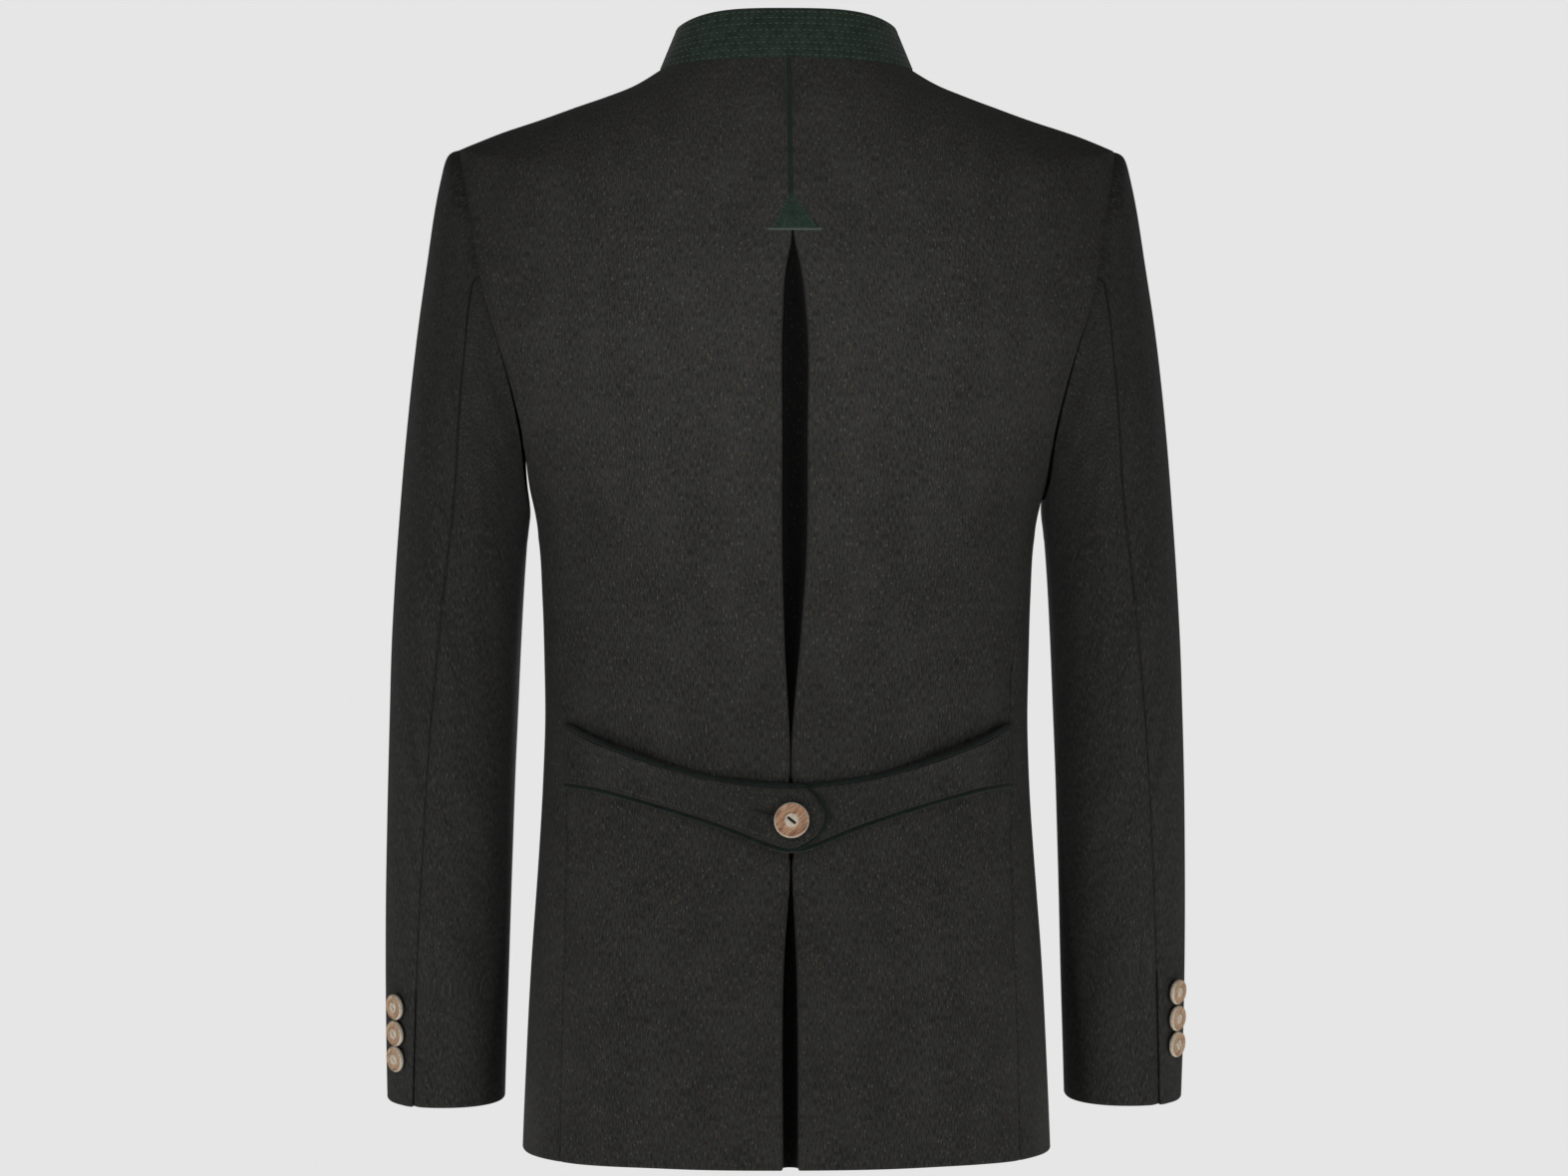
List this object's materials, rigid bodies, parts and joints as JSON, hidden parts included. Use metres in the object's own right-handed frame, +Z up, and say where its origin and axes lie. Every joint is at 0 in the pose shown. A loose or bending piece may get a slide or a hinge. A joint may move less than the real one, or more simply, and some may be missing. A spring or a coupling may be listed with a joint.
{
  "type": "jacket",
  "caption": "Hip-length men's wool jacket with a stand collar, a centre-back inverted pleat under an arrow, a buttoned half belt and buttoned sleeve vents.",
  "frame": {"origin": "middle of the neck base, level with the shoulder points of the neckline, where the wearer holds it", "axes": "+Z up, +Y the wearer's front, so the back faces -Y, and +X the wearer's right"},
  "size_m": [0.542, 0.2805, 0.7736],
  "materials": {
    "back_left": "brushed grey-brown melange cashmere",
    "back_right": "brushed grey-brown melange cashmere",
    "side_left": "brushed grey-brown melange cashmere",
    "side_right": "brushed grey-brown melange cashmere",
    "front_left": "brushed grey-brown melange cashmere",
    "front_right": "brushed grey-brown melange cashmere",
    "upper_sleeve_left": "brushed grey-brown melange cashmere",
    "upper_sleeve_right": "brushed grey-brown melange cashmere",
    "under_sleeve_left": "brushed grey-brown melange cashmere",
    "under_sleeve_right": "brushed grey-brown melange cashmere",
    "belt_left": "brushed grey-brown melange cashmere",
    "belt_right": "brushed grey-brown melange cashmere",
    "pleat_underlay": "brushed grey-brown melange cashmere",
    "collar": "dark green wool felt",
    "centre_piping": "dark green wool felt",
    "pleat_arrow": "dark green wool felt",
    "belt_piping_left": "dark green wool felt",
    "belt_piping_right": "dark green wool felt",
    "belt_button": "natural antler, satin",
    "cuff_button_left_1": "natural antler, satin",
    "cuff_button_left_2": "natural antler, satin",
    "cuff_button_left_3": "natural antler, satin",
    "cuff_button_right_1": "natural antler, satin",
    "cuff_button_right_2": "natural antler, satin",
    "cuff_button_right_3": "natural antler, satin",
    "front_button_1": "natural antler, satin",
    "front_button_2": "natural antler, satin",
    "front_button_3": "natural antler, satin",
    "front_button_4": "natural antler, satin",
    "front_button_5": "natural antler, satin"
  },
  "bodies": {
    "root": {"back_left": "back_left", "back_right": "back_right", "side_left": "side_left", "side_right": "side_right", "front_left": "front_left", "front_right": "front_right", "upper_sleeve_left": "upper_sleeve_left", "upper_sleeve_right": "upper_sleeve_right", "under_sleeve_left": "under_sleeve_left", "under_sleeve_right": "under_sleeve_right", "belt_left": "belt_left", "belt_right": "belt_right", "pleat_underlay": "pleat_underlay", "collar": "collar", "centre_piping": "centre_piping", "pleat_arrow": "pleat_arrow", "belt_piping_left": "belt_piping_left", "belt_piping_right": "belt_piping_right", "belt_button": "belt_button", "cuff_button_left_1": "cuff_button_left_1", "cuff_button_left_2": "cuff_button_left_2", "cuff_button_left_3": "cuff_button_left_3", "cuff_button_right_1": "cuff_button_right_1", "cuff_button_right_2": "cuff_button_right_2", "cuff_button_right_3": "cuff_button_right_3", "front_button_1": "front_button_1", "front_button_2": "front_button_2", "front_button_3": "front_button_3", "front_button_4": "front_button_4", "front_button_5": "front_button_5"}
  },
  "joints": []
}
